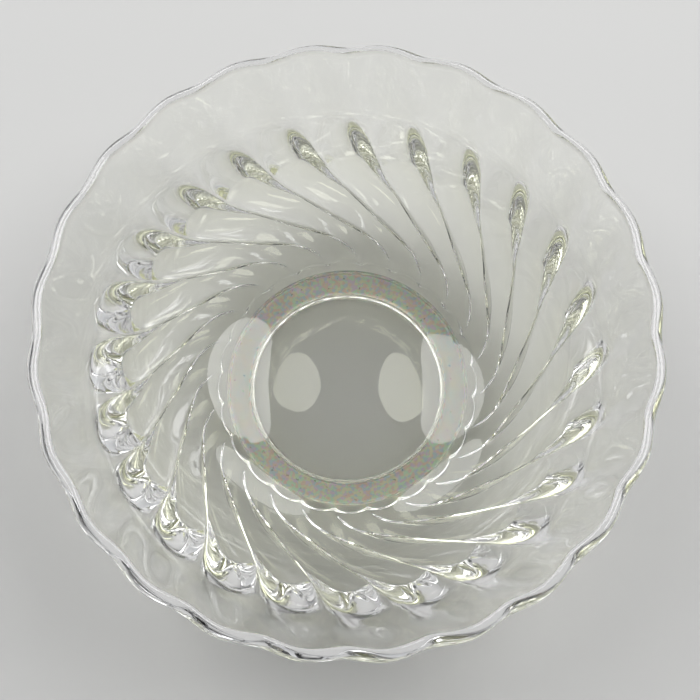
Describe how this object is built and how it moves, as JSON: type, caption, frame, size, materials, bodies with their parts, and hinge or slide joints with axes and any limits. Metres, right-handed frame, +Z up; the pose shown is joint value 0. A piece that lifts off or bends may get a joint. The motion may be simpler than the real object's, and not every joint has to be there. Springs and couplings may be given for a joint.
{
  "type": "dessert bowl",
  "caption": "Clear pressed-glass dessert bowl with swirled gadroons, a plain flared band with a scalloped lip, and a low foot ring.",
  "frame": {"origin": "middle of the foot ring, on the table plane", "axes": "+Z up along the bowl's axis; +X and +Y lie in the table plane, and the pattern repeats every 15 degrees about +Z"},
  "size_m": [0.1194, 0.1194, 0.05],
  "materials": {
    "clear_glass": "fire-polished clear soda-lime glass, very faint yellow-green in thick places"
  },
  "bodies": {
    "root": {"foot_ring": "clear_glass", "base": "clear_glass", "gadrooned_wall": "clear_glass", "flared_rim": "clear_glass"}
  },
  "joints": []
}
